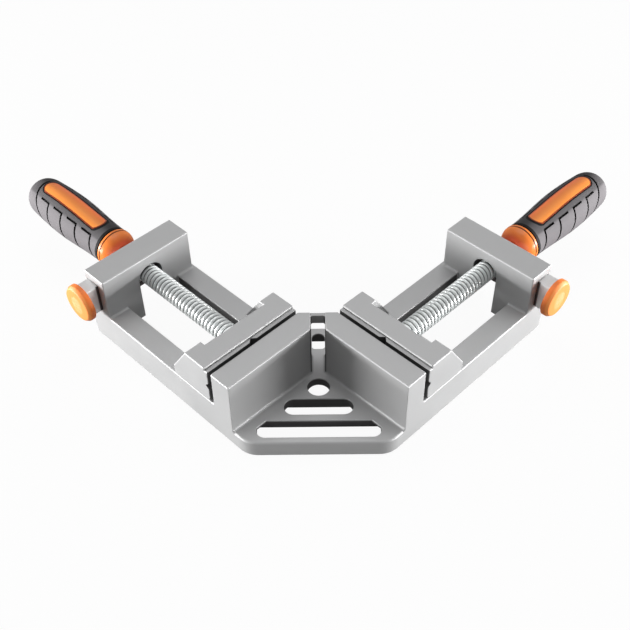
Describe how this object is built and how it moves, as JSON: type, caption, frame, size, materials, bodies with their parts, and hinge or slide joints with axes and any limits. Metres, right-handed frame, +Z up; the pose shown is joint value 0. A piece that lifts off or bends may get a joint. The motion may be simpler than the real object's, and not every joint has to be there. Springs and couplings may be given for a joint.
{
  "type": "corner clamp",
  "caption": "Right-angle corner clamp: cast frame with two fixed and two sliding jaws, quick-release thumb buttons, clamping screws with soft-grip handles",
  "frame": {"origin": "On the table, directly below the point where the inner faces of the two fixed jaws would cross. The underside of the casting is z = 0.", "axes": "+X runs out along the right-hand arm, +Y runs out along the left-hand arm, +Z is up. The clamp mirrors itself about the plane X = Y; the corner plate points towards -X-Y."},
  "size_m": [0.3455, 0.3455, 0.0564],
  "materials": {
    "cast_metal": "blasted, satin",
    "screw_steel": "bright zinc plate",
    "slider_steel": "ground, satin",
    "plated_steel": "zinc plate",
    "dark_steel": "black oxide",
    "orange_plastic": "moulded, semi-gloss",
    "orange_inlay": "moulded, semi-gloss, no lettering",
    "grey_rubber": "moulded, matt"
  },
  "bodies": {
    "frame": {"frame": "cast_metal"},
    "jaw_right": {"moving_jaw_right": "cast_metal", "jaw_keeper_right": "plated_steel", "keeper_screws_right": "dark_steel", "retaining_pins_right": "plated_steel"},
    "spindle_right": {"spindle_right": "screw_steel", "thrust_washer_right": "plated_steel", "handle_core_right": "orange_plastic", "handle_grip_right": "grey_rubber", "handle_inlay_right": "orange_inlay"},
    "release_right": {"release_slider_right": "slider_steel", "release_button_right": "orange_plastic", "release_spring_right": "dark_steel"},
    "jaw_left": {"moving_jaw_left": "cast_metal", "jaw_keeper_left": "plated_steel", "keeper_screws_left": "dark_steel", "retaining_pins_left": "plated_steel"},
    "spindle_left": {"spindle_left": "screw_steel", "thrust_washer_left": "plated_steel", "handle_core_left": "orange_plastic", "handle_grip_left": "grey_rubber", "handle_inlay_left": "orange_inlay"},
    "release_left": {"release_slider_left": "slider_steel", "release_button_left": "orange_plastic", "release_spring_left": "dark_steel"}
  },
  "joints": [
    {"name": "jaw_slide_right", "type": "slide", "parent": "frame", "child": "jaw_right", "axis": [1, 0, 0], "range_m": [-0.0025, 0.0675]},
    {"name": "spindle_turn_right", "type": "hinge", "parent": "jaw_right", "child": "spindle_right", "pos_m": [0.1, -0.0375, 0.0395], "axis": [1, 0, 0], "range_deg": [-226, 6076]},
    {"name": "release_press_right", "type": "slide", "parent": "frame", "child": "release_right", "axis": [0, 1, 0], "range_m": [0, 0.0035], "stiffness_N_per_m": 2000, "springref_m": -0.001, "deforming": ["release_spring_right"]},
    {"name": "jaw_slide_left", "type": "slide", "parent": "frame", "child": "jaw_left", "axis": [0, 1, 0], "range_m": [-0.0025, 0.0675]},
    {"name": "spindle_turn_left", "type": "hinge", "parent": "jaw_left", "child": "spindle_left", "pos_m": [-0.0375, 0.1, 0.0395], "axis": [0, 1, 0], "range_deg": [-226, 6076]},
    {"name": "release_press_left", "type": "slide", "parent": "frame", "child": "release_left", "axis": [1, 0, 0], "range_m": [0, 0.0035], "stiffness_N_per_m": 2000, "springref_m": -0.001, "deforming": ["release_spring_left"]}
  ],
  "couplings": [
    {"joint": "spindle_turn_right", "follows": "jaw_slide_right", "rad_per_m": 1570.8},
    {"joint": "spindle_turn_left", "follows": "jaw_slide_left", "rad_per_m": 1570.8}
  ]
}
